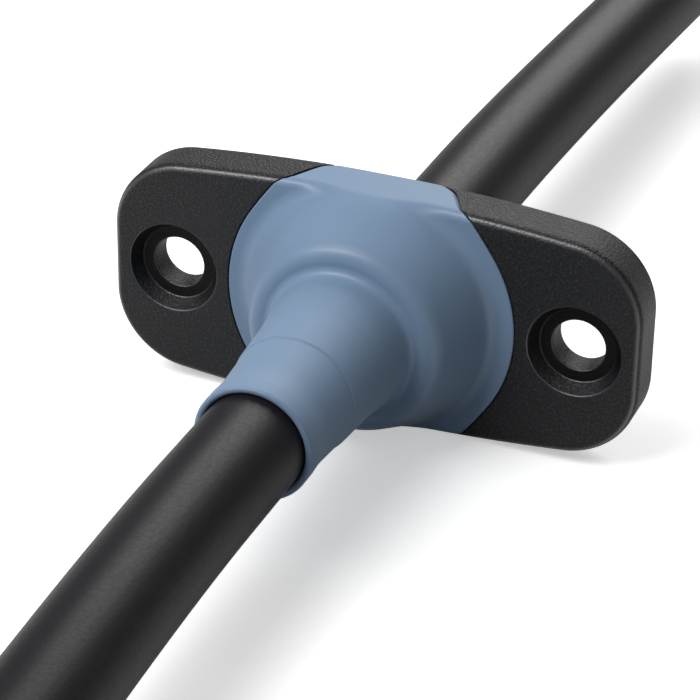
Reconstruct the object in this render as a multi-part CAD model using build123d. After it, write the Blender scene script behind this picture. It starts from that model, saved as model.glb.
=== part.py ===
from build123d import *
import os
from math import pi, sqrt

# Cable feedthrough seal, in millimetres. A soft boot is moulded over the middle of a stiff flange
# plate, and a round cable runs through it. X lies along the plate, Y along the cable and Z is up.
# The origin is on the bore axis, at the plate's mounting face, and the boot points along -Y.

# Flange plate
PLATE_LENGTH = 68.0
PLATE_HEIGHT = 30.8          # at the middle of the bowed long edges
PLATE_THICKNESS = 6.0
LONG_EDGE_BOW_RADIUS = 240.0
CORNER_RADIUS = 9.8
FRONT_EDGE_RADIUS = 1.1

# Screw holes, for M6 screws
HOLE_SPACING = 52.0
HOLE_DIAMETER = 6.6
RECESS_MOUTH_DIAMETER = 12.0
RECESS_FLOOR_DIAMETER = 9.6
RECESS_DEPTH = 1.8
RECESS_RIM_CHAMFER = 0.25
HOLE_BACK_CHAMFER = 0.9

# Web of the plate that lies inside the boot and joins the two ends
WEB_THICKNESS = 2.4
WEB_COVER = 2.0              # rubber over the web's top and bottom edges
WEB_BORE_CLEARANCE = 3.0     # rubber between the cable and the web

# Seam between plate and boot, a turned surface: a land across the front edge, a taper and a tuck
SEAM_FRONT_RADIUS = 18.8
SEAM_LAND = 1.2              # depth of the land behind the front face
SEAM_WAIST_RADIUS = 17.5
SEAM_TUCK_DEPTH = 1.3
SEAM_BACK_RADIUS = 16.4

# Cable
CABLE_DIAMETER = 12.5
CABLE_FRONT_REACH = 108.0    # from the mounting face to the cut end
CABLE_BACK_REACH = 122.0
CABLE_FRONT_SAG = (1.5, -0.3)  # how far the front end bends aside, along X and Z
CABLE_BACK_SAG = (2.6, -1.8)

# Boot: heights are measured forwards from the plate's front face
SHOULDER_ROOT_RADIUS = 15.9
SHOULDER_EDGE_RADIUS = 11.8  # of the corner at the top, before it is broken
SHOULDER_HEIGHT = 9.1
SHOULDER_EDGE_BREAK = 1.0    # how far the break reaches down the flank and in along the crest
CREST_INNER_RADIUS = 10.3
CREST_DISH = 0.3             # how far the crest falls towards the neck
NECK_WALL = 2.7              # outside the cable, in the groove behind the sleeve
NECK_HEIGHT = 8.0
SLEEVE_LENGTH = 34.5         # from the plate's front face to the mouth
SLEEVE_MIDDLE_HEIGHT = 16.5
SLEEVE_MIDDLE_WALL = 1.8
SLEEVE_WAIST_HEIGHT = 29.5
SLEEVE_WAIST_WALL = 0.8
MOUTH_WALL = 0.9
MOUTH_BAND = 2.2             # straight length behind the mouth's lip
LIP_CHAMFER = 0.4

# Inside of the boot
BORE_CLEARANCE = 0.35        # round the cable, between the sealing lips
MOUTH_LIP_CLEARANCE = 0.12
MOUTH_LIP_LENGTH = 1.0
SEAL_LIP_COUNT = 2
SEAL_LIP_PITCH = 6.0
SEAL_LIP_LAND = 0.5
SEAL_LIP_FOOT = 1.8
FIRST_LIP_DEPTH = 5.0        # in from the mouth
BACK_CHAMFER = 1.2

# Face seal at the back
FACE_BEAD_RADIUS = 13.0
FACE_BEAD_HEIGHT = 0.6
FACE_BEAD_WIDTH = 1.8
FACE_BEAD_CROWN = 0.6        # flat width on top

OVERRUN = 1.0                # how far a cutting solid reaches past the face that it cuts

front = -PLATE_THICKNESS
mouth = front - SLEEVE_LENGTH
cable_radius = CABLE_DIAMETER / 2
SAME = 1e-6                  # two numbers closer than this are taken as equal


def plate_outline():
    """The plate's outline seen from the front: bowed long edges, straight ends and round corners."""
    half_length = PLATE_LENGTH / 2
    half_height = PLATE_HEIGHT / 2
    bow = LONG_EDGE_BOW_RADIUS - sqrt(LONG_EDGE_BOW_RADIUS**2 - half_length**2)
    corner = half_height - bow
    with BuildSketch(Plane.XZ) as outline:
        with BuildLine():
            ThreePointArc((-half_length, corner), (0, half_height), (half_length, corner))
            Line((half_length, corner), (half_length, -corner))
            ThreePointArc((half_length, -corner), (0, -half_height), (-half_length, -corner))
            Line((-half_length, -corner), (-half_length, corner))
        make_face()
        fillet(outline.vertices(), CORNER_RADIUS)
    return outline.sketch


def turned(outline_edges):
    """A solid turned about the bore axis from a closed outline of radius and height along Y."""
    return revolve(make_face(outline_edges), Axis.Y, 360)


def boot_outside():
    """The boot's turned outside: flat collar, shoulder with a broken edge, neck groove and sleeve."""
    rim = SEAM_FRONT_RADIUS + OVERRUN
    flank = Line((SHOULDER_ROOT_RADIUS, front), (SHOULDER_EDGE_RADIUS, front - SHOULDER_HEIGHT))
    crest = Line(flank @ 1, (CREST_INNER_RADIUS, front - SHOULDER_HEIGHT + CREST_DISH))
    flank_end = flank @ (1 - SHOULDER_EDGE_BREAK / flank.length)
    crest_start = crest @ (SHOULDER_EDGE_BREAK / crest.length)
    crown = ((flank_end + crest_start) / 2 + crest @ 0) / 2
    shoulder = Polyline((rim, front), flank @ 0, flank_end, crown, crest_start, crest @ 1)
    mouth_radius = cable_radius + MOUTH_WALL
    sleeve = Polyline(
        crest @ 1,
        (cable_radius + NECK_WALL, front - NECK_HEIGHT),
        (cable_radius + SLEEVE_MIDDLE_WALL, front - SLEEVE_MIDDLE_HEIGHT),
        (cable_radius + SLEEVE_WAIST_WALL, front - SLEEVE_WAIST_HEIGHT),
        (mouth_radius, mouth + LIP_CHAMFER + MOUTH_BAND),
        (mouth_radius, mouth + LIP_CHAMFER),
        (mouth_radius - LIP_CHAMFER, mouth),
        (0, mouth),
    )
    closing = Polyline((0, mouth), (0, 0), (rim, 0), (rim, front))
    return turned([shoulder, sleeve, closing])


def seam_core():
    """Everything inside the seam between plate and boot, from behind the plate to ahead of the mouth."""
    ahead = mouth - OVERRUN
    seam = Polyline(
        (0, 0),
        (SEAM_BACK_RADIUS, 0),
        (SEAM_WAIST_RADIUS, -SEAM_TUCK_DEPTH),
        (SEAM_FRONT_RADIUS, front + SEAM_LAND),
        (SEAM_FRONT_RADIUS, ahead),
        (0, ahead),
        close=True,
    )
    return turned([seam])


def whole_moulding(outline):
    """Plate and boot as one outer form, with one soft front edge that runs across both."""
    plate = extrude(outline, PLATE_THICKNESS)
    prism = extrude(outline, OVERRUN - mouth)
    whole = plate + (boot_outside() & prism)
    sides = [f for f in whole.faces() if on_plate_side(f)]
    rim = [e for f in sides for e in f.edges() if e.center().Y < front / 2 and not runs_along_y(e)]
    return fillet(rim, FRONT_EDGE_RADIUS)


def on_plate_side(face):
    """True for a face of the plate's sides: it reaches the back face and its normal has no part along Y."""
    return abs(face.normal_at().Y) < SAME and max(corner.Y for corner in face.vertices()) > -SAME


def runs_along_y(edge):
    """True for a straight edge that is parallel to the cable."""
    return abs((edge % 0.5).Y) > 1 - SAME


def web(outline):
    """The thin web inside the boot that joins the plate's ends, with a wide hole round the cable."""
    sheet = extrude(offset(outline, -WEB_COVER), WEB_THICKNESS / 2, both=True)
    opening = Cylinder(cable_radius + WEB_BORE_CLEARANCE, WEB_THICKNESS + 2 * OVERRUN)
    return Pos(0, front / 2, 0) * (sheet - Rot(90, 0, 0) * opening)


def screw_hole(x):
    """One screw hole with its tapered recess, broken rim and back chamfer, as the solid to cut away."""
    hole = HOLE_DIAMETER / 2
    floor = front + RECESS_DEPTH
    rim = RECESS_MOUTH_DIAMETER / 2
    wall = Polyline(
        (0, OVERRUN),
        (hole + HOLE_BACK_CHAMFER + OVERRUN, OVERRUN),
        (hole, -HOLE_BACK_CHAMFER),
        (hole, floor),
        (RECESS_FLOOR_DIAMETER / 2, floor),
        (rim - RECESS_RIM_CHAMFER, front + RECESS_RIM_CHAMFER),
        (rim + OVERRUN, front - OVERRUN),
        (0, front - OVERRUN),
        close=True,
    )
    return Pos(x, 0, 0) * turned([wall])


def bore():
    """The boot's bore, to cut away: sealing lips that touch the cable, and a lead at the back."""
    wall = cable_radius + BORE_CLEARANCE
    lip = cable_radius + MOUTH_LIP_CLEARANCE
    inside = mouth + MOUTH_LIP_LENGTH
    points = [(0, mouth - OVERRUN), (lip, mouth - OVERRUN), (lip, inside), (wall, inside + BORE_CLEARANCE)]
    for index in range(SEAL_LIP_COUNT):
        middle = mouth + FIRST_LIP_DEPTH + index * SEAL_LIP_PITCH
        points += [(wall, middle - SEAL_LIP_FOOT / 2), (cable_radius, middle - SEAL_LIP_LAND / 2)]
        points += [(cable_radius, middle + SEAL_LIP_LAND / 2), (wall, middle + SEAL_LIP_FOOT / 2)]
    points += [(wall, -BACK_CHAMFER), (wall + BACK_CHAMFER + OVERRUN, OVERRUN), (0, OVERRUN)]
    return turned([Polyline(*points, close=True)])


def face_bead():
    """The raised bead on the boot's back face that presses on the panel, rooted under that face."""
    foot, crown = FACE_BEAD_WIDTH / 2, FACE_BEAD_CROWN / 2
    inner, outer = FACE_BEAD_RADIUS - foot, FACE_BEAD_RADIUS + foot
    ridge = Polyline(
        (inner, -FACE_BEAD_HEIGHT),
        (inner, 0),
        (FACE_BEAD_RADIUS - crown, FACE_BEAD_HEIGHT),
        (FACE_BEAD_RADIUS + crown, FACE_BEAD_HEIGHT),
        (outer, 0),
        (outer, -FACE_BEAD_HEIGHT),
        close=True,
    )
    return turned([ridge])


def cable():
    """A round cable, straight through the boot and bent a little past each end of it, square cut."""
    front_end = (CABLE_FRONT_SAG[0], -CABLE_FRONT_REACH, CABLE_FRONT_SAG[1])
    back_end = (CABLE_BACK_SAG[0], CABLE_BACK_REACH, CABLE_BACK_SAG[1])
    leaves = mouth - OVERRUN
    run = Wire([
        Edge.make_tangent_arc((0, leaves, 0), (0, -1, 0), front_end),
        Edge.make_line((0, leaves, 0), (0, OVERRUN, 0)),
        Edge.make_tangent_arc((0, OVERRUN, 0), (0, 1, 0), back_end),
    ])
    section = Plane(origin=run @ 0, z_dir=run % 0) * Circle(cable_radius)
    solid = sweep(section, path=run)
    expected = pi * cable_radius**2 * run.length
    print(f"cable: length {run.length:.2f}, volume {solid.volume:.1f}, section times length {expected:.1f}")
    return solid


def build():
    """Every piece of the seal, by node name."""
    outline = plate_outline()
    whole = whole_moulding(outline)
    core = seam_core()
    bridge = web(outline) & core
    plate = (whole - core) + bridge
    for side in (-1, 1):
        plate -= screw_hole(side * HOLE_SPACING / 2)
    boot = (whole & core) - bridge - bore() + face_bead()
    return {"flange_plate": plate, "seal_boot": boot, "cable": cable()}


os.makedirs("parts", exist_ok=True)
for name, shape in build().items():
    export_step(shape, f"parts/{name}.step")
    print(name, "solids", len(shape.solids()), "volume", round(shape.volume, 1))
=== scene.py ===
"""A cable feedthrough seal: a rubber boot moulded through a bowed flange plate, with a cable in its bore."""

import math

import bpy
import numpy as np
from mathutils import Matrix, Vector


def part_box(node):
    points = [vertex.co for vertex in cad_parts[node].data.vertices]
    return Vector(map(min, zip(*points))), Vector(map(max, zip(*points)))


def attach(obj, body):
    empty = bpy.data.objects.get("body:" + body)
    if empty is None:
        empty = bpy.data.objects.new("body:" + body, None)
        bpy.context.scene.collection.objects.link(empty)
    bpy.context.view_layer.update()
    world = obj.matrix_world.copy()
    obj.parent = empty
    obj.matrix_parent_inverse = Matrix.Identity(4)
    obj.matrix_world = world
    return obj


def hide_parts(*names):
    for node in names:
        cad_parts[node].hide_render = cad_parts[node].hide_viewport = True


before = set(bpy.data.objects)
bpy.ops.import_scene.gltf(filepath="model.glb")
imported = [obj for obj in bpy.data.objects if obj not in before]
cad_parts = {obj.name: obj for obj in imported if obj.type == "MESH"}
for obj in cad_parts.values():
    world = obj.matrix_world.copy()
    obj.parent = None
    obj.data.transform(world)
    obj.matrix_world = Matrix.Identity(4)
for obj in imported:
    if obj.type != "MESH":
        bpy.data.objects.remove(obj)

bl_info = {
    "name": "Cable feedthrough seal",
    "version": (1, 0, 0),
    "blender": (4, 5, 0),
    "location": "3D View > Sidebar > Seal",
    "description": "Builds the flange plate, the rubber boot and the cable around the packed frame",
    "category": "Add Mesh",
}

MM = 0.001
BODY = "root"
plate_low, plate_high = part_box("flange_plate")
boot_low, boot_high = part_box("seal_boot")

# Points on each stretch of the plate's grid
BOW_POINTS, CORNER_POINTS, END_POINTS, SEAM_POINTS = 44, 34, 12, 122
FRONT_EDGE_ROWS, SIDE_ROWS, BACK_EDGE_ROWS, FACE_ROWS = 10, 14, 6, 7

# Points on each stretch of the boot's grid
LONG_EDGE_POINTS, SEAM_SIDE_POINTS = 92, 112
COLLAR_ROWS, WALL_ROWS, BACK_ROWS, ARC_ROWS = 76, 25, 32, 11


class PlateSettings(bpy.types.PropertyGroup):
    """Sizes and finish of the stiff flange plate."""

    length: bpy.props.FloatProperty(
        name="Length", description="End to end", default=plate_high.x - plate_low.x, unit="LENGTH")
    height: bpy.props.FloatProperty(
        name="Height", description="At the middle of the bowed edges", default=boot_high.z - boot_low.z, unit="LENGTH")
    thickness: bpy.props.FloatProperty(
        name="Thickness", description="From the mounting face to the front face", default=-plate_low.y, unit="LENGTH")
    bow_radius: bpy.props.FloatProperty(
        name="Bow radius", description="Of the long edges", default=240 * MM, unit="LENGTH")
    corner_radius: bpy.props.FloatProperty(
        name="Corner radius", description="Of the four corners", default=9.8 * MM, unit="LENGTH")
    front_edge: bpy.props.FloatProperty(
        name="Front edge", description="Rounding round the front face", default=1.1 * MM, unit="LENGTH")
    back_edge: bpy.props.FloatProperty(
        name="Back edge", description="Rounding round the mounting face", default=0.25 * MM, unit="LENGTH")
    seam_front: bpy.props.FloatProperty(
        name="Seam front", description="Radius of the seam on the front face", default=18.6 * MM, unit="LENGTH")
    seam_throat: bpy.props.FloatProperty(
        name="Seam throat", description="Radius of the seam behind its funnel", default=17.85 * MM, unit="LENGTH")
    seam_waist: bpy.props.FloatProperty(
        name="Seam waist", description="Radius of the seam where it turns in", default=16.75 * MM, unit="LENGTH")
    seam_back: bpy.props.FloatProperty(
        name="Seam back", description="Radius of the seam on the mounting face", default=15.9 * MM, unit="LENGTH")
    seam_funnel: bpy.props.FloatProperty(
        name="Seam funnel", description="Depth of the seam's funnel at the front", default=1.2 * MM, unit="LENGTH")
    seam_tuck: bpy.props.FloatProperty(
        name="Seam tuck", description="Depth over which the seam turns in at the back", default=1 * MM,
        unit="LENGTH")
    seam_flare: bpy.props.FloatProperty(
        name="Seam flare", description="How far the seam spreads at the long edges", default=0.8 * MM, unit="LENGTH")
    flare_start: bpy.props.FloatProperty(
        name="Flare start", description="Height at which the seam begins to spread", default=10 * MM, unit="LENGTH")
    seam_gap: bpy.props.FloatProperty(
        name="Seam gap", description="Width of the parting line", default=0.2 * MM, unit="LENGTH")
    hole_spacing: bpy.props.FloatProperty(
        name="Hole spacing", description="Between the screw holes", default=52 * MM, unit="LENGTH")
    hole: bpy.props.FloatProperty(
        name="Hole", description="Diameter of a screw hole", default=6.6 * MM, unit="LENGTH")
    recess_mouth: bpy.props.FloatProperty(
        name="Recess mouth", description="Diameter at the front face", default=12 * MM, unit="LENGTH")
    recess_floor: bpy.props.FloatProperty(
        name="Recess floor", description="Diameter at the floor", default=9.6 * MM, unit="LENGTH")
    recess_depth: bpy.props.FloatProperty(
        name="Recess depth", description="From the front face to the floor", default=1.8 * MM, unit="LENGTH")
    back_chamfer: bpy.props.FloatProperty(
        name="Back chamfer", description="Round a screw hole at the back", default=0.9 * MM, unit="LENGTH")
    grain: bpy.props.FloatProperty(
        name="Grain", description="Width of one pit of the grain, coarse enough to show", default=0.3 * MM,
        unit="LENGTH")
    colour: bpy.props.StringProperty(name="Colour", description="sRGB hex of the nylon", default="#121315")
    colour_tips: bpy.props.StringProperty(
        name="Grain tips", description="sRGB hex of the tips of the grain", default="#3E3F44")
    # Painted highlight: the front edge is painted paler than the nylon, so it shows a bright line.
    colour_edge_highlight: bpy.props.StringProperty(
        name="Highlit edge", description="sRGB hex of the rubbed front edge", default="#2C2D31")
    # Painted shade: the screw recesses are painted darker than the nylon.
    colour_recess_shade: bpy.props.StringProperty(
        name="Recess", description="sRGB hex of the nylon in the screw recesses", default="#0B0B0C")


class BootSettings(bpy.types.PropertyGroup):
    """Sizes and finish of the soft boot. Heights are measured forwards from the plate's front face."""

    length: bpy.props.FloatProperty(
        name="Sleeve length", description="From the front face to the mouth",
        default=plate_low.y - boot_low.y, unit="LENGTH")
    root_radius: bpy.props.FloatProperty(
        name="Root radius", description="Where the shoulder leaves the collar", default=15.9 * MM, unit="LENGTH")
    roll_radius: bpy.props.FloatProperty(
        name="Roll radius", description="Where the shoulder's flank begins to roll over", default=12.5 * MM,
        unit="LENGTH")
    roll_height: bpy.props.FloatProperty(
        name="Roll height", description="Where the shoulder's flank begins to roll over", default=7.55 * MM,
        unit="LENGTH")
    crest_radius: bpy.props.FloatProperty(
        name="Crest radius", description="Of the shoulder's highest edge", default=11.28 * MM, unit="LENGTH")
    crest_height: bpy.props.FloatProperty(
        name="Crest height", description="Of the shoulder's highest edge", default=9 * MM, unit="LENGTH")
    neck_radius: bpy.props.FloatProperty(
        name="Neck radius", description="Of the groove behind the sleeve", default=8.95 * MM, unit="LENGTH")
    neck_height: bpy.props.FloatProperty(
        name="Neck height", description="Of the groove behind the sleeve", default=8.85 * MM, unit="LENGTH")
    middle_radius: bpy.props.FloatProperty(
        name="Middle radius", description="Of the sleeve where its taper changes", default=8.05 * MM, unit="LENGTH")
    middle_height: bpy.props.FloatProperty(
        name="Middle height", description="Where the sleeve's taper changes", default=16.5 * MM, unit="LENGTH")
    ring_height: bpy.props.FloatProperty(
        name="Ring height", description="Of the faint mould ring", default=22.8 * MM, unit="LENGTH")
    ring_step: bpy.props.FloatProperty(
        name="Ring step", description="How far the sleeve steps in at the ring", default=0.17 * MM, unit="LENGTH")
    waist_radius: bpy.props.FloatProperty(
        name="Waist radius", description="Of the sleeve behind its mouth", default=7.05 * MM, unit="LENGTH")
    waist_height: bpy.props.FloatProperty(
        name="Waist height", description="Of the sleeve's slimmest place", default=29.5 * MM, unit="LENGTH")
    mouth_radius: bpy.props.FloatProperty(
        name="Mouth radius", description="Outside, at the mouth", default=7.2 * MM, unit="LENGTH")
    mouth_band: bpy.props.FloatProperty(
        name="Mouth band", description="Length of the mouth's thicker band", default=2.4 * MM, unit="LENGTH")
    lip: bpy.props.FloatProperty(
        name="Lip", description="Rounding of the mouth", default=0.4 * MM, unit="LENGTH")
    lip_gap: bpy.props.FloatProperty(
        name="Lip gap", description="Between the mouth and the cable", default=0.12 * MM, unit="LENGTH")
    bore_gap: bpy.props.FloatProperty(
        name="Bore gap", description="Between the bore and the cable", default=0.35 * MM, unit="LENGTH")
    edge: bpy.props.FloatProperty(
        name="Seam edge", description="Rounding along the seam", default=0.2 * MM, unit="LENGTH")
    bead_radius: bpy.props.FloatProperty(
        name="Bead radius", description="Of the bead on the back face", default=13 * MM, unit="LENGTH")
    bead_height: bpy.props.FloatProperty(
        name="Bead height", description="Above the mounting face", default=0.55 * MM, unit="LENGTH")
    bead_width: bpy.props.FloatProperty(
        name="Bead width", description="At its foot", default=1.8 * MM, unit="LENGTH")
    colour: bpy.props.StringProperty(name="Colour", description="sRGB hex of the rubber", default="#7891AD")
    colour_deep: bpy.props.StringProperty(
        name="Deep colour", description="sRGB hex of its darker clouds", default="#7089A5")


class CableSettings(bpy.types.PropertyGroup):
    """Size, run and finish of the cable."""

    diameter: bpy.props.FloatProperty(
        name="Diameter", description="Over the jacket", default=12.5 * MM, unit="LENGTH")
    front_end: bpy.props.FloatProperty(
        name="Front end", description="Y of the front end", default=-108 * MM, unit="LENGTH")
    back_end: bpy.props.FloatProperty(
        name="Back end", description="Y of the back end", default=122 * MM, unit="LENGTH")
    meeting: bpy.props.FloatProperty(
        name="Meeting", description="Y inside the bore where both lengths meet", default=-20 * MM, unit="LENGTH")
    front_held: bpy.props.FloatProperty(
        name="Front held", description="Y up to which the mouth holds the front length", default=-34 * MM,
        unit="LENGTH")
    front_corner: bpy.props.FloatProperty(
        name="Front corner", description="Y of the front route's corner", default=-72 * MM, unit="LENGTH")
    back_corner: bpy.props.FloatProperty(
        name="Back corner", description="Y of the back route's corner", default=60 * MM, unit="LENGTH")
    front_sag: bpy.props.FloatVectorProperty(
        name="Front sag", description="How far the front end bends aside, along X and Z", size=2,
        default=(2 * MM, -0.3 * MM), unit="LENGTH")
    back_sag: bpy.props.FloatVectorProperty(
        name="Back sag", description="How far the back end bends aside, along X and Z", size=2,
        default=(3 * MM, -1.8 * MM), unit="LENGTH")
    colour: bpy.props.StringProperty(name="Colour", description="sRGB hex of the jacket", default="#1C1A1D")


class StageSettings(bpy.types.PropertyGroup):
    """Floor, lights and camera."""

    floor_height: bpy.props.FloatProperty(
        name="Floor height", description="Z of the floor", default=boot_low.z, unit="LENGTH")
    floor_colour: bpy.props.StringProperty(name="Floor", description="sRGB hex of the floor", default="#F4F4F4")
    floor_bounce: bpy.props.StringProperty(
        name="Floor bounce", description="sRGB hex of the floor as it lights the object", default="#9A9A9A")
    floor_glow: bpy.props.FloatProperty(name="Floor glow", description="Added to the white of the floor", default=0.46)
    room: bpy.props.FloatProperty(name="Room", description="Strength of the light from all round", default=0.19)


def linear(hex_colour):
    """Linear RGBA of an sRGB hex colour: c / 12.92 below 0.04045, else ((c + 0.055) / 1.055) to the power 2.4."""
    channels = [int(hex_colour[i:i + 2], 16) / 255 for i in (1, 3, 5)]
    return tuple(c / 12.92 if c <= 0.04045 else ((c + 0.055) / 1.055) ** 2.4 for c in channels) + (1.0,)


def add_node(tree, kind, links=(), values=(), **settings):
    """Adds a node with its own settings, its sockets' values by name or number, and its (output, socket) links."""
    node = tree.nodes.new(kind)
    for name, value in settings.items():
        setattr(node, name, value)
    for socket, value in dict(values).items():
        node.inputs[socket].default_value = value
    for output, socket in links:
        tree.links.new(output, node.inputs[socket])
    return node


def new_material(name):
    """An empty node material with its output node."""
    material = bpy.data.materials.new(name)
    material.use_nodes = True
    material.node_tree.nodes.clear()
    return material, material.node_tree, material.node_tree.nodes.new("ShaderNodeOutputMaterial")


def turn_band(tree, normal, low, peak, high):
    """A share that peaks where the surface turns from the front face to the side. Y of the normal plus 1 is 0 on the
    front face and 1 on the sides, and the share rises from low to peak and falls to high."""
    facing = add_node(tree, "ShaderNodeSeparateXYZ", [(normal, "Vector")])
    turned = add_node(tree, "ShaderNodeMath", [(facing.outputs["Y"], 0)], {1: 1.0}, operation="ADD")
    band = add_node(tree, "ShaderNodeValToRGB", [(turned.outputs[0], "Fac")])
    band.color_ramp.elements[0].position = low
    band.color_ramp.elements[1].position = peak
    band.color_ramp.elements.new(high).color = (0, 0, 0, 1)
    return band.outputs["Color"]


def outside_recess(tree, texture, settings):
    """0 on the walls and the seat of the screw recesses, 1 elsewhere and on walls that face up. The distance from a
    hole's axis is the length of (|x| - half the hole spacing, z), and the recess is the band of distances between the
    hole and the recess's mouth."""
    middle = (settings.hole + settings.recess_mouth) / 4
    half_width = (settings.recess_mouth - settings.hole) / 4
    spot = add_node(tree, "ShaderNodeSeparateXYZ", [(texture.outputs["Object"], "Vector")])
    facing = add_node(tree, "ShaderNodeSeparateXYZ", [(texture.outputs["Normal"], "Vector")])
    across = add_node(tree, "ShaderNodeMath", [(spot.outputs["X"], 0)], operation="ABSOLUTE")
    aside = add_node(tree, "ShaderNodeMath", [(across.outputs[0], 0)], {1: settings.hole_spacing / 2},
                     operation="SUBTRACT")
    flat = add_node(tree, "ShaderNodeCombineXYZ", [(aside.outputs[0], "X"), (spot.outputs["Z"], "Z")])
    away = add_node(tree, "ShaderNodeVectorMath", [(flat.outputs[0], 0)], operation="LENGTH")
    offset = add_node(tree, "ShaderNodeMath", [(away.outputs["Value"], 0)], {1: middle}, operation="SUBTRACT")
    span = add_node(tree, "ShaderNodeMath", [(offset.outputs[0], 0)], operation="ABSOLUTE")
    beyond = add_node(tree, "ShaderNodeMapRange", [(span.outputs[0], "Value")],
                      {"From Min": half_width - 0.25 * MM, "From Max": half_width - 0.1 * MM})
    up = add_node(tree, "ShaderNodeMapRange", [(facing.outputs["Z"], "Value")], {"From Min": 0.1, "From Max": 0.7})
    both = add_node(tree, "ShaderNodeMath", [(beyond.outputs["Result"], 0), (up.outputs["Result"], 1)],
                    operation="MAXIMUM")
    return both.outputs[0]


def grained_nylon(settings):
    """Glass-filled nylon, moulded against spark-eroded steel: near black, with a fine grain whose tips catch the light
    as tiny grey specks and whose pits stay dark, so flat faces look dry. The front edge, where the surface turns from
    the front face to the side, is smoother and painted paler, a painted highlight that gives it a soft bright line.
    The screw recesses are painted near black, a painted shade, and are the dullest part. A pixel of the render is
    0.12 mm wide on the plate, too wide for the pits of a real grain, so the grain is drawn coarser, as coarse as it
    needs to show."""
    material, tree, output = new_material("Glass-filled nylon, spark-eroded")
    texture = add_node(tree, "ShaderNodeTexCoord")
    place = texture.outputs["Object"]
    patch = 6 * MM
    grain = add_node(tree, "ShaderNodeTexNoise", [(place, "Vector")],
                     {"Scale": 1 / settings.grain, "Detail": 3.0, "Roughness": 0.6})
    patches = add_node(tree, "ShaderNodeTexNoise", [(place, "Vector")], {"Scale": 1 / patch, "Detail": 2.0})
    tips = add_node(tree, "ShaderNodeMapRange", [(grain.outputs["Fac"], "Value")], {"From Min": 0.5, "From Max": 0.76})
    band = turn_band(tree, texture.outputs["Normal"], low=0.04, peak=0.24, high=0.44)
    open_face = outside_recess(tree, texture, settings)

    colour = add_node(tree, "ShaderNodeMix", [(tips.outputs["Result"], "Factor")],
                      {"A": linear(settings.colour), "B": linear(settings.colour_tips)}, data_type="RGBA")
    # Painted highlight: paler colour where the surface turns from the front face to the side.
    highlighted = add_node(tree, "ShaderNodeMix", [(band, "Factor"), (colour.outputs["Result"], "A")],
                      {"B": linear(settings.colour_edge_highlight)}, data_type="RGBA")
    # Painted shade: near black colour on the recess walls and seat that don't face up, where the shine is also lowered.
    black = add_node(tree, "ShaderNodeMix", [(open_face, "Factor"), (highlighted.outputs["Result"], "B")],
                     {"A": linear(settings.colour_recess_shade)}, data_type="RGBA")

    rough = add_node(tree, "ShaderNodeMapRange", [(patches.outputs["Fac"], "Value")], {"To Min": 0.4, "To Max": 0.5})
    smoother = add_node(tree, "ShaderNodeMath", [(band, 0)], {1: 0.15}, operation="MULTIPLY")
    rough = add_node(tree, "ShaderNodeMath", [(rough.outputs["Result"], 0), (smoother.outputs[0], 1)],
                     operation="SUBTRACT")
    flatter = add_node(tree, "ShaderNodeMath", [(band, 0)], {1: -0.6, 2: 1.0}, operation="MULTIPLY_ADD")
    bump = add_node(tree, "ShaderNodeBump", [(grain.outputs["Fac"], "Height"), (flatter.outputs[0], "Strength")],
                    {"Distance": 0.19 * MM})
    shine = add_node(tree, "ShaderNodeMapRange", [(band, "Value")], {"To Min": 0.28, "To Max": 1.2})
    dulled = add_node(tree, "ShaderNodeMapRange", [(open_face, "Value")], {"To Min": 0.45})
    shine = add_node(tree, "ShaderNodeMath", [(shine.outputs["Result"], 0), (dulled.outputs["Result"], 1)],
                     operation="MULTIPLY")
    shader = add_node(tree, "ShaderNodeBsdfPrincipled", [
        (black.outputs["Result"], "Base Color"), (rough.outputs[0], "Roughness"),
        (shine.outputs[0], "Specular IOR Level"), (bump.outputs["Normal"], "Normal")], {"IOR": 1.53})
    tree.links.new(shader.outputs["BSDF"], output.inputs["Surface"])
    return material


def satin_rubber(settings):
    """Silicone rubber moulded in a fine-blasted tool: a soft satin skin with a very fine tooth and faint clouds of
    colour, which spreads each highlight wide and keeps shadows soft. The crest of the shoulder is smoother, so it
    catches a brighter light. The tooth of real rubber is too fine to show in the render, so it is drawn coarser."""
    material, tree, output = new_material("Silicone rubber, satin moulded")
    texture = add_node(tree, "ShaderNodeTexCoord")
    place = texture.outputs["Object"]
    cloud, pit = 9 * MM, 0.3 * MM
    band = turn_band(tree, texture.outputs["Normal"], low=0.06, peak=0.25, high=0.48)
    clouds = add_node(tree, "ShaderNodeTexNoise", [(place, "Vector")], {"Scale": 1 / cloud, "Detail": 3.0})
    tooth = add_node(tree, "ShaderNodeTexNoise", [(place, "Vector")], {"Scale": 1 / pit, "Detail": 2.0})
    colour = add_node(tree, "ShaderNodeMix", [(clouds.outputs["Fac"], "Factor")],
                      {"A": linear(settings.colour), "B": linear(settings.colour_deep)}, data_type="RGBA")
    rough = add_node(tree, "ShaderNodeMapRange", [(tooth.outputs["Fac"], "Value")], {"To Min": 0.54, "To Max": 0.64})
    smoother = add_node(tree, "ShaderNodeMath", [(band, 0), (rough.outputs["Result"], 2)], {1: -0.18},
                        operation="MULTIPLY_ADD")
    shine = add_node(tree, "ShaderNodeMapRange", [(band, "Value")], {"To Min": 0.42, "To Max": 0.85})
    bump = add_node(tree, "ShaderNodeBump", [(tooth.outputs["Fac"], "Height")],
                    {"Strength": 0.12, "Distance": 0.05 * MM})
    shader = add_node(tree, "ShaderNodeBsdfPrincipled", [
        (colour.outputs["Result"], "Base Color"), (smoother.outputs[0], "Roughness"),
        (shine.outputs["Result"], "Specular IOR Level"), (bump.outputs["Normal"], "Normal")],
        {"IOR": 1.43, "Sheen Weight": 0.15, "Sheen Roughness": 0.5})
    tree.links.new(shader.outputs["BSDF"], output.inputs["Surface"])
    return material


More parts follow.
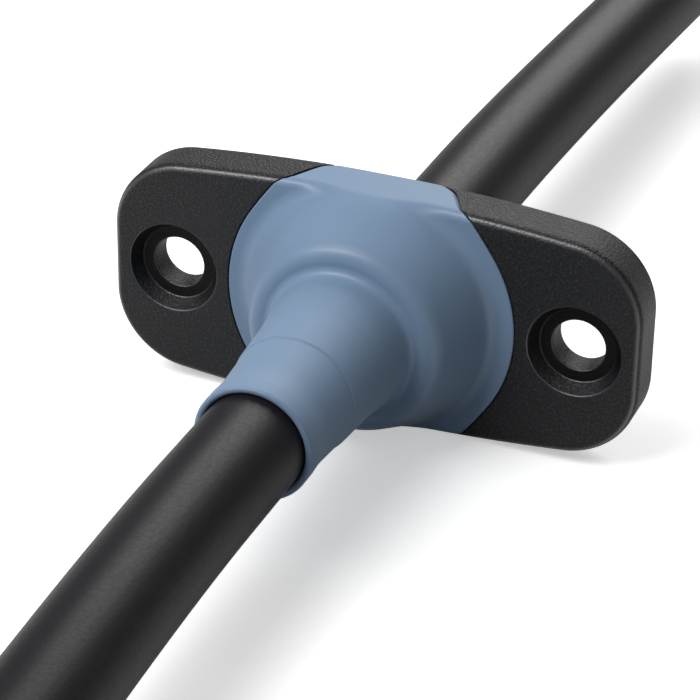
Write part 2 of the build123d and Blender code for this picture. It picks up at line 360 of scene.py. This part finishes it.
def extruded_jacket(settings):
    """Thermoplastic rubber jacket, extruded: matte black with faint streaks along the run from the die and a dry,
    slightly mottled skin, which gives one broad dull highlight along the cable. Both are drawn coarser than on a real
    jacket, so that they show in the render."""
    material, tree, output = new_material("Thermoplastic rubber jacket, extruded")
    place = add_node(tree, "ShaderNodeTexCoord").outputs["Object"]
    streak, grain, stretch = 0.8 * MM, 0.45 * MM, 0.04
    along = add_node(tree, "ShaderNodeMapping", [(place, "Vector")], {"Scale": (1.0, stretch, 1.0)})
    streaks = add_node(tree, "ShaderNodeTexNoise", [(along.outputs["Vector"], "Vector")],
                       {"Scale": 1 / streak, "Detail": 2.0})
    mottle = add_node(tree, "ShaderNodeTexNoise", [(place, "Vector")], {"Scale": 1 / grain, "Detail": 3.0})
    height = add_node(tree, "ShaderNodeMix", [(streaks.outputs["Fac"], "A"), (mottle.outputs["Fac"], "B")],
                      {"Factor": 0.5}, data_type="FLOAT")
    rough = add_node(tree, "ShaderNodeMapRange", [(mottle.outputs["Fac"], "Value")], {"To Min": 0.36, "To Max": 0.56})
    bump = add_node(tree, "ShaderNodeBump", [(height.outputs["Result"], "Height")],
                    {"Strength": 0.4, "Distance": 0.07 * MM})
    shader = add_node(tree, "ShaderNodeBsdfPrincipled", [
        (rough.outputs["Result"], "Roughness"), (bump.outputs["Normal"], "Normal")],
        {"Base Color": linear(settings.colour), "IOR": 1.5, "Specular IOR Level": 0.2})
    tree.links.new(shader.outputs["BSDF"], output.inputs["Surface"])
    return material


def pale_floor(settings):
    """Matte painted board: near white, so it shows only the object's shadow. Camera and transmission rays also see a
    little light of its own, which keeps the shadow pale, and gloss rays see the white board by itself. The light that
    it throws back on the object is that of a greyer board, so the shaded sides of the object stay dark."""
    material, tree, output = new_material("Matte painted board")
    path = add_node(tree, "ShaderNodeLightPath")
    white = add_node(tree, "ShaderNodeBsdfDiffuse", values={"Color": linear(settings.floor_colour)})
    grey = add_node(tree, "ShaderNodeBsdfDiffuse", values={"Color": linear(settings.floor_bounce)})
    strength = add_node(tree, "ShaderNodeMath", [(path.outputs["Is Glossy Ray"], 0)],
                        {1: -settings.floor_glow, 2: settings.floor_glow}, operation="MULTIPLY_ADD")
    glow = add_node(tree, "ShaderNodeEmission", [(strength.outputs[0], "Strength")])
    both = add_node(tree, "ShaderNodeAddShader", [(white.outputs["BSDF"], 0), (glow.outputs["Emission"], 1)])
    seen = add_node(tree, "ShaderNodeMath", [(path.outputs["Is Camera Ray"], 0), (path.outputs["Is Glossy Ray"], 1)],
                    operation="MAXIMUM")
    seen = add_node(tree, "ShaderNodeMath", [(seen.outputs[0], 0), (path.outputs["Is Transmission Ray"], 1)],
                    operation="MAXIMUM")
    mix = add_node(tree, "ShaderNodeMixShader", [
        (seen.outputs[0], "Fac"), (grey.outputs["BSDF"], 1), (both.outputs["Shader"], 2)])
    tree.links.new(mix.outputs["Shader"], output.inputs["Surface"])
    return material


def closed_surface(points):
    """A mesh from a grid of points that closes on itself both ways: row i joins row i + 1, column j joins column j + 1,
    and the last ones join the first. points has the shape rows, columns, 3."""
    rows, columns = points.shape[:2]
    i, j = np.meshgrid(np.arange(rows), np.arange(columns), indexing="ij")
    down, right = (i + 1) % rows, (j + 1) % columns
    faces = np.stack([i * columns + j, i * columns + right, down * columns + right, down * columns + j], axis=-1)
    return faces.reshape(-1, 4), points.reshape(-1, 3)


def make_object(name, parts, material, body):
    """One smooth-shaded object from (faces, points) parts, turned outwards, which rides on a body."""
    faces, points, start = [], [], 0
    for part_faces, part_points in parts:
        faces.append(part_faces + start)
        points.append(part_points)
        start += len(part_points)
    faces, points = np.concatenate(faces), np.concatenate(points)
    mesh = bpy.data.meshes.new(name)
    mesh.vertices.add(len(points))
    mesh.vertices.foreach_set("co", points.astype(np.float32).ravel())
    mesh.loops.add(faces.size)
    mesh.loops.foreach_set("vertex_index", faces.astype(np.int32).ravel())
    mesh.polygons.add(len(faces))
    mesh.polygons.foreach_set("loop_start", np.arange(0, faces.size, 4, dtype=np.int32))
    mesh.polygons.foreach_set("loop_total", np.full(len(faces), 4, dtype=np.int32))
    mesh.polygons.foreach_set("use_smooth", np.ones(len(faces), dtype=bool))
    mesh.update(calc_edges=True)
    mesh.validate()
    mesh.materials.append(material)
    thing = bpy.data.objects.new(name, mesh)
    bpy.context.scene.collection.objects.link(thing)
    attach(thing, body)
    return thing


def signed_volume(faces, points):
    """Six times the volume inside a closed quad mesh, by the sum of a . (b x c) over its triangles."""
    a, b, c, d = (points[faces[:, k]] for k in range(4))
    return np.sum(a * np.cross(b, c)) + np.sum(a * np.cross(c, d))


def outwards(part):
    """The same closed part with its faces turned outwards."""
    faces, points = part
    return (faces if signed_volume(faces, points) > 0 else faces[:, ::-1]), points


def rounding_drop(distance, radius):
    """How far a rounded edge falls at a distance from its side: radius - sqrt(radius^2 - (radius - distance)^2)."""
    short = np.clip(radius - distance, 0, radius)
    return radius - np.sqrt(np.maximum(radius ** 2 - short ** 2, 0))


def rounded_line(corners, radii, steps):
    """A polyline of (radius, height) corners with a circular arc of the given radius at each inner corner.
    Each arc starts and ends radius / tan(half the corner's angle) away from its corner."""
    points = [np.array(corners[0], float)[None]]
    for before, corner, after, radius in zip(corners, corners[1:], corners[2:], radii):
        corner = np.array(corner, float)
        back = np.array(before, float) - corner
        ahead = np.array(after, float) - corner
        back, ahead = back / np.linalg.norm(back), ahead / np.linalg.norm(ahead)
        half = math.acos(np.clip(back @ ahead, -1, 1)) / 2
        if radius <= 0 or half > math.pi / 2 - 1e-4:
            points.append(corner[None])
            continue
        reach = radius / math.tan(half)
        centre = corner + (back + ahead) / np.linalg.norm(back + ahead) * radius / math.sin(half)
        first, last = corner + back * reach - centre, corner + ahead * reach - centre
        turn = math.atan2(first[0] * last[1] - first[1] * last[0], first @ last)
        angle = turn * np.linspace(0, 1, steps)[:, None]
        side = np.array([-first[1], first[0]])
        points.append(centre + np.cos(angle) * first + np.sin(angle) * side)
    points.append(np.array(corners[-1], float)[None])
    return np.concatenate(points)


def seam_radius(plate, y, z):
    """The seam's radius at a depth y and a height z: a funnel, a taper and a tuck, joined by soft bends, plus a flare
    that grows with the square of the height past its start."""
    front, bend, bend_rows = -plate.thickness, 2 * MM, 12
    line = rounded_line(
        [(plate.seam_front, front), (plate.seam_throat, front + plate.seam_funnel),
         (plate.seam_waist, -plate.seam_tuck), (plate.seam_back, 0)], [bend, bend], bend_rows)
    past = np.maximum(np.abs(z) - plate.flare_start, 0) / (plate.height / 2 - plate.flare_start)
    return np.interp(y, line[:, 1], line[:, 0]) + plate.seam_flare * past ** 2


def bow_centre(plate):
    """Z of the centre of the upper long edge's arc."""
    return plate.height / 2 - plate.bow_radius


def bow_height(plate, x):
    """Z of the upper long edge at x, on a circle about the bow's centre."""
    return bow_centre(plate) + np.sqrt(plate.bow_radius ** 2 - x ** 2)


def seam_tip(plate, y, inset, gap):
    """Where the seam at a depth y, moved by a gap, crosses the upper long edge, set in by an amount. The equations of
    both circles, subtracted, give Z, and the seam's circle then gives X. Four rounds settle the flare, which hangs on
    Z."""
    centre = bow_centre(plate)
    z = plate.height / 2 - inset
    for _ in range(4):
        radius = seam_radius(plate, y, z) + gap
        z = (radius ** 2 + centre ** 2 - (plate.bow_radius - inset) ** 2) / (2 * centre)
    return np.sqrt(radius ** 2 - z ** 2), z


def seam_on_front(plate, z, gap):
    """X of the seam, moved by a gap, at a height z on the front surface: sqrt(radius^2 - z^2), with the radius at the
    depth to which the front edge's rounding falls there. X and that depth are settled together in a few rounds."""
    x = np.sqrt(plate.seam_front ** 2 - z ** 2)
    for _ in range(10):
        y = rounding_drop(bow_height(plate, x) - np.abs(z), plate.front_edge) - plate.thickness
        x = (x + np.sqrt((seam_radius(plate, y, z) + gap) ** 2 - z ** 2)) / 2
    return x


def edge_inset(plate, y):
    """How far the outline is set in at a depth y by the roundings of the front and back edges."""
    return rounding_drop(y + plate.thickness, plate.front_edge) + rounding_drop(-y, plate.back_edge)


def edge_rows(plate):
    """Depths from the front face to the mounting face, evenly spaced by angle on the two roundings."""
    front = plate.front_edge * (1 - np.cos(np.linspace(0, math.pi / 2, FRONT_EDGE_ROWS))) - plate.thickness
    back = -plate.back_edge * (1 - np.cos(np.linspace(math.pi / 2, 0, BACK_EDGE_ROWS)))
    middle = np.linspace(front[-1], back[0], SIDE_ROWS)[1:-1]
    return np.concatenate([front, middle, back])


def end_outline(plate, inset, tip_x):
    """The upper half of one plate end's outline at each depth, from the seam's tip to the middle of the end: bowed
    edge, corner arc and straight end, all set in by the same amount. Shapes are rows by columns."""
    centre = bow_centre(plate)
    corner_x = plate.length / 2 - plate.corner_radius
    corner_z = centre + math.sqrt((plate.bow_radius - plate.corner_radius) ** 2 - corner_x ** 2)
    tangent = math.atan2(corner_x, corner_z - centre)
    bow = plate.bow_radius - inset
    start = np.arcsin(tip_x / bow)
    share = np.linspace(0, 1, BOW_POINTS) ** 2
    angle = start + (tangent - start) * share
    bow_x, bow_z = bow * np.sin(angle), centre + bow * np.cos(angle)
    angle = np.linspace(tangent, math.pi / 2, CORNER_POINTS)[1:]
    arc = plate.corner_radius - inset
    arc_x, arc_z = corner_x + arc * np.sin(angle), corner_z + arc * np.cos(angle)
    end_z = np.linspace(corner_z, 0, END_POINTS)[1:] + 0 * inset
    end_x = plate.length / 2 - inset + 0 * end_z
    return np.concatenate([bow_x, arc_x, end_x], 1), np.concatenate([bow_z, arc_z, end_z], 1)


def plate_end(plate, side):
    """One end of the plate as a grid that closes both ways. Each column runs from the boundary at the front, over the
    flat front face, down the recess and through the screw hole, back out over the mounting face and up the side to
    where it started. The boundary at each depth is the end's outline and the seam circle's arc between its two tips."""
    y = edge_rows(plate)[:, None]
    inset = edge_inset(plate, y)
    gap = plate.seam_gap / 2
    upper_x, upper_z = end_outline(plate, inset, seam_tip(plate, y, inset, gap)[0])
    outline_x = np.concatenate([upper_x, upper_x[:, -2::-1]], 1)
    outline_z = np.concatenate([upper_z, -upper_z[:, -2::-1]], 1)
    phi = np.linspace(-math.pi / 2, math.pi / 2, SEAM_POINTS)[None, 1:-1]
    seam_z = upper_z[:, :1] * np.sin(phi)
    seam_x = np.sqrt((seam_radius(plate, y, seam_z) + gap) ** 2 - seam_z ** 2)
    boundary_x = np.concatenate([outline_x, seam_x], 1)
    boundary_z = np.concatenate([outline_z, seam_z], 1)
    hole_x = plate.hole_spacing / 2
    turn = np.arctan2(outline_z[0], outline_x[0] - hole_x)
    turn = np.concatenate([turn, -math.pi + (math.pi - turn[0]) * -np.sin(phi[0])])
    hole, mouth, floor = plate.hole / 2, plate.recess_mouth / 2, plate.recess_floor / 2
    front, depth = -plate.thickness, plate.recess_depth - plate.thickness
    # The turned part begins on the flat front face, a little outside the recess, and ends likewise at the back
    front_rim, back_rim, mouth_taper = mouth + 0.6 * MM, hole + 1.4 * plate.back_chamfer, 0.1 * MM
    roundings, arc_rows = np.array([0.35, 0.3, 0.2, 0.1, 0.1]) * MM, 7
    line = rounded_line(
        [(front_rim, front), (mouth - mouth_taper, front), (floor, depth), (hole, depth),
         (hole, -plate.back_chamfer), (hole + plate.back_chamfer, 0), (back_rim, 0)], roundings, arc_rows)
    recess = np.stack([
        hole_x + line[:, :1] * np.cos(turn)[None],
        np.repeat(line[:, 1:], len(turn), 1),
        line[:, :1] * np.sin(turn)[None]], -1)
    sides = np.stack([boundary_x, np.repeat(y, boundary_x.shape[1], 1), boundary_z], -1)
    share = np.linspace(0, 1, FACE_ROWS)[1:-1, None, None]
    front_face = sides[0] + (recess[0] - sides[0]) * share
    back_face = recess[-1] + (sides[-1] - recess[-1]) * share
    grid = np.concatenate([front_face, recess, back_face, sides[::-1]])
    grid[..., 0] *= side
    return outwards(closed_surface(grid))


def boot_profile(boot, cable):
    """The boot's turned outside as (radius, height), from inside the mouth to the collar: rolled lip, sleeve with its
    mould ring, neck groove, round crest, roll, steep flank and flat collar, with an arc at each corner."""
    inside = cable.diameter / 2 + boot.lip_gap
    mouth, band = boot.mouth_radius, boot.length - boot.mouth_band
    ring = np.interp(boot.ring_height, [boot.middle_height, boot.waist_height],
                     [boot.middle_radius, boot.waist_radius]) + boot.ring_step / 2
    mouth_wall, ring_slope, past_seam = 1 * MM, 0.12 * MM, 20 * MM
    corners = [
        (inside, boot.length - mouth_wall),
        (inside, boot.length),
        (mouth, boot.length),
        (mouth, band),
        (boot.waist_radius, boot.waist_height),
        (ring - boot.ring_step, boot.ring_height + ring_slope),
        (ring, boot.ring_height - ring_slope),
        (boot.middle_radius, boot.middle_height),
        (boot.neck_radius, boot.neck_height),
        (boot.crest_radius, boot.crest_height),
        (boot.roll_radius, boot.roll_height),
        (boot.root_radius, 0),
        (past_seam, 0),
    ]
    roundings = np.array([0, 0, 3, 20, 0.2, 0.2, 30, 1.2, 2.2, 5, 2.4]) * MM
    roundings[:2] = boot.lip
    return rounded_line(corners, roundings, ARC_ROWS)


def seal_boot(plate, boot, cable):
    """The boot as a grid that closes both ways. Near the bore its columns are turned: x = r cos a, z = r sin a. Further
    out they run straight to the boundary, and y is minus the profile's height plus the fall of the front edge's
    rounding, which depends on the distance to the plate's outline. The boundary is the long edge between the seam's
    tips, and the seam elsewhere."""
    front, gap, lift = -plate.thickness, plate.seam_gap / 2, boot.edge
    line = boot_profile(boot, cable)
    crest_start = boot.crest_radius - 0.3 * MM
    split = np.argmax(line[:, 0] >= crest_start)
    turned, outer = line[:split], line[split - 1:]

    tip_x, tip_z = seam_tip(plate, front + plate.front_edge, 0.0, -gap)
    share = np.sin(np.linspace(-math.pi / 2, math.pi / 2, LONG_EDGE_POINTS))
    top_x = tip_x * share
    top_z = bow_height(plate, top_x) - rounding_drop(tip_x - np.abs(top_x), lift)
    phi = np.linspace(math.pi / 2, -math.pi / 2, SEAM_SIDE_POINTS)[1:-1]
    side_z = top_z[0] * np.sin(phi)
    side_x = seam_on_front(plate, side_z, -gap)
    edge_x = np.concatenate([top_x, side_x, -top_x, -side_x])
    edge_z = np.concatenate([top_z, side_z, -top_z, -side_z])
    ratio = np.concatenate([share, np.sin(phi), -share, -np.sin(phi)])
    on_edge = np.repeat([True, False, True, False], [len(top_x), len(side_x)] * 2)
    angle, reach = np.arctan2(edge_z, edge_x), np.hypot(edge_x, edge_z)

    def turned_rows(profile):
        """Rows of a (radius, height) profile turned about the bore: x = r cos a, y = the height, z = r sin a."""
        return np.stack([profile[:, :1] * np.cos(angle), np.repeat(profile[:, 1:], len(angle), 1),
                         profile[:, :1] * np.sin(angle)], -1)

    # The rows lie closer together towards the boundary, where the front edge is rounded
    share = np.linspace(0, 1, COLLAR_ROWS)[:, None]
    r = turned[-1, 0] + (reach - turned[-1, 0]) * (0.45 * share + 0.55 * np.sin(share * math.pi / 2))
    x, z = r * np.cos(angle), r * np.sin(angle)
    fall = rounding_drop(bow_height(plate, x) - np.abs(z), plate.front_edge)
    fall = np.maximum(fall, rounding_drop(seam_radius(plate, front + fall, z) - gap - r, lift))
    flare = np.stack([x, front - np.interp(r, outer[:, 0], outer[:, 1]) + fall, z], -1)[1:]

    y = flare[-1, :, 1] * np.linspace(1, 0, WALL_ROWS)[1:, None]
    inset = rounding_drop(-y, plate.back_edge)
    tip_x, tip_z = seam_tip(plate, y, inset, -gap)
    wall_x = tip_x * ratio
    wall_z = bow_height(plate, wall_x) - inset - rounding_drop(tip_x - np.abs(wall_x), lift)
    seam_z = (tip_z - lift) * ratio
    seam_x = np.sqrt((seam_radius(plate, y, seam_z) - gap) ** 2 - seam_z ** 2)
    walls = np.stack([np.where(on_edge, wall_x, np.sign(edge_x) * seam_x), y,
                      np.where(on_edge, np.sign(edge_z) * wall_z, seam_z)], -1)

    rim = np.hypot(walls[-1, :, 0], walls[-1, :, 2])
    turn = np.arctan2(walls[-1, :, 2], walls[-1, :, 0])
    share = np.linspace(0, 1, BACK_ROWS)[1:, None]
    bore, chamfer, mouth_depth = cable.diameter / 2 + boot.bore_gap, 1.2 * MM, 1.3 * MM
    r, turn = rim + (bore + chamfer - rim) * share, turn + (angle - turn) * share
    bead = np.clip(1 - np.abs(r - boot.bead_radius) / (boot.bead_width / 2), 0, 1)
    back = np.stack([r * np.cos(turn), boot.bead_height * np.sin(bead * math.pi / 2) ** 2, r * np.sin(turn)], -1)
    inside = rounded_line([(bore + chamfer, 0), (bore, -chamfer), (bore, front - boot.length + mouth_depth)],
                          [0.4 * MM], 5)[1:]
    turned = turned_rows(turned * [1, -1] + [0, front])
    return outwards(closed_surface(np.concatenate([turned, flare, walls, back, turned_rows(inside)])))


def look_from(camera, position, right, up, forward):
    """Puts a camera at a position with its axes along the given unit vectors."""
    turn = Matrix((right, up, [-v for v in forward])).transposed().to_4x4()
    camera.matrix_world = Matrix.Translation(position) @ turn


class SEAL_OT_cable(bpy.types.Operator):
    """Lay the cable's front and rear lengths, which meet inside the boot"""

    bl_idname = "seal.cable"
    bl_label = "Cable"

    def execute(self, context):
        settings = context.scene.seal_cable
        material = extruded_jacket(settings)
        mouth = boot_low.y
        runs = (
            ("cable_front", mouth, settings.front_held, settings.front_corner, settings.front_end,
             settings.front_sag),
            ("cable_rear", 0.0, 0.0, settings.back_corner, settings.back_end, settings.back_sag),
        )
        for name, leaves, held, corner, end, sag in runs:
            curve = bpy.data.curves.new(name, "CURVE")
            curve.dimensions = "3D"
            curve.bevel_depth = settings.diameter / 2
            curve.bevel_resolution = 14
            curve.use_fill_caps = True
            route = np.array([(0, settings.meeting, 0), (0, held, 0), (0, corner, 0), (sag[0], end, sag[1])])
            spline = curve.splines.new("NURBS")
            spline.points.add(len(route) - 1)
            spline.points.foreach_set("co", np.append(route, np.ones((len(route), 1)), 1).ravel())
            spline.order_u = 3
            spline.use_endpoint_u = True
            curve.materials.append(material)
            cord = bpy.data.objects.new(name, curve)
            context.scene.collection.objects.link(cord)
            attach(cord, BODY)
            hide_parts("cable")
        return {"FINISHED"}


class SEAL_OT_plate(bpy.types.Operator):
    """Mould the two ends of the flange plate"""

    bl_idname = "seal.plate"
    bl_label = "Flange plate"

    def execute(self, context):
        plate = context.scene.seal_plate
        material = grained_nylon(plate)
        parts = [plate_end(plate, side) for side in (-1, 1)]
        thing = make_object("plate", parts, material, BODY)
        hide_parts("flange_plate")
        return {"FINISHED"}


class SEAL_OT_boot(bpy.types.Operator):
    """Mould the rubber boot"""

    bl_idname = "seal.boot"
    bl_label = "Seal boot"

    def execute(self, context):
        boot = context.scene.seal_boot
        material = satin_rubber(boot)
        thing = make_object(
            "boot", [seal_boot(context.scene.seal_plate, boot, context.scene.seal_cable)], material, BODY)
        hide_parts("seal_boot")
        return {"FINISHED"}


class SEAL_OT_stage(bpy.types.Operator):
    """Set up the floor, the lights and the camera"""

    bl_idname = "seal.stage"
    bl_label = "Stage"

    def execute(self, context):
        settings = context.scene.seal_stage
        scene = context.scene
        scene.view_settings.view_transform = "Standard"

        half = 3.0
        mesh = bpy.data.meshes.new("floor")
        z = settings.floor_height
        mesh.from_pydata([(-half, -half, z), (half, -half, z), (half, half, z), (-half, half, z)], [], [(0, 1, 2, 3)])
        mesh.materials.append(pale_floor(settings))
        floor = bpy.data.objects.new("floor", mesh)
        scene.collection.objects.link(floor)

        world = bpy.data.worlds.new("Soft white room")
        world.use_nodes = True
        tree = world.node_tree
        tree.nodes.clear()
        output = add_node(tree, "ShaderNodeOutputWorld")
        room = add_node(tree, "ShaderNodeBackground", values={"Color": (1, 1, 1, 1), "Strength": settings.room})
        tree.links.new(room.outputs["Background"], output.inputs["Surface"])
        scene.world = world

        # Name, place and size in metres, and power in watts. Each lamp looks at the origin
        lamps = (
            ("key", (-0.2, -0.24, 0.44), 0.36, 2.45),
            ("back", (-0.06, 0.72, 0.49), 0.5, 4.4),
            ("fill", (-0.3, -0.35, 0.12), 0.3, 0.25),
        )
        for name, place, size, power in lamps:
            light = bpy.data.lights.new(name, "AREA")
            light.shape = "SQUARE"
            light.size = size
            light.energy = power
            lamp = bpy.data.objects.new(name, light)
            scene.collection.objects.link(lamp)
            lamp.location = place
            lamp.rotation_mode = "QUATERNION"
            lamp.rotation_quaternion = Vector(place).to_track_quat("Z", "Y")

        data = bpy.data.cameras.new("camera")
        data.sensor_width = 36.0
        data.lens = 154.286
        data.clip_start, data.clip_end = 0.01, 20.0
        camera = bpy.data.objects.new("camera", data)
        scene.collection.objects.link(camera)
        look_from(
            camera, position=(0.116301, -0.300729, 0.172792), right=(0.92427973, 0.381402, 0.01547556),
            up=(-0.19969287, 0.44858337, 0.87114621), forward=(-0.32531483, 0.80827315, -0.49077977))
        scene.camera = camera
        return {"FINISHED"}


class SEAL_PT_panel(bpy.types.Panel):
    """Lists the pieces of the seal and their settings"""

    bl_idname = "SEAL_PT_panel"
    bl_label = "Cable feedthrough seal"
    bl_space_type = "VIEW_3D"
    bl_region_type = "UI"
    bl_category = "Seal"

    def draw(self, context):
        for operator, group in STEPS:
            box = self.layout.box()
            box.operator(operator.bl_idname)
            settings = getattr(context.scene, group)
            for name in settings.__annotations__:
                box.prop(settings, name)


GROUPS = (
    ("seal_stage", StageSettings),
    ("seal_cable", CableSettings),
    ("seal_plate", PlateSettings),
    ("seal_boot", BootSettings),
)
STEPS = (
    (SEAL_OT_stage, "seal_stage"),
    (SEAL_OT_cable, "seal_cable"),
    (SEAL_OT_plate, "seal_plate"),
    (SEAL_OT_boot, "seal_boot"),
)


def register():
    """Registers the settings, the operators and the panel."""
    for name, group in GROUPS:
        bpy.utils.register_class(group)
        setattr(bpy.types.Scene, name, bpy.props.PointerProperty(type=group))
    for operator, _ in STEPS:
        bpy.utils.register_class(operator)
    bpy.utils.register_class(SEAL_PT_panel)


def unregister():
    """Takes back what register did."""
    bpy.utils.unregister_class(SEAL_PT_panel)
    for operator, _ in reversed(STEPS):
        bpy.utils.unregister_class(operator)
    for name, group in reversed(GROUPS):
        delattr(bpy.types.Scene, name)
        bpy.utils.unregister_class(group)


def main():
    """Builds every piece in order."""
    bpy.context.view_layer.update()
    register()
    bpy.ops.seal.stage()
    bpy.ops.seal.cable()
    bpy.ops.seal.plate()
    bpy.ops.seal.boot()


if __name__ == "__main__":
    main()
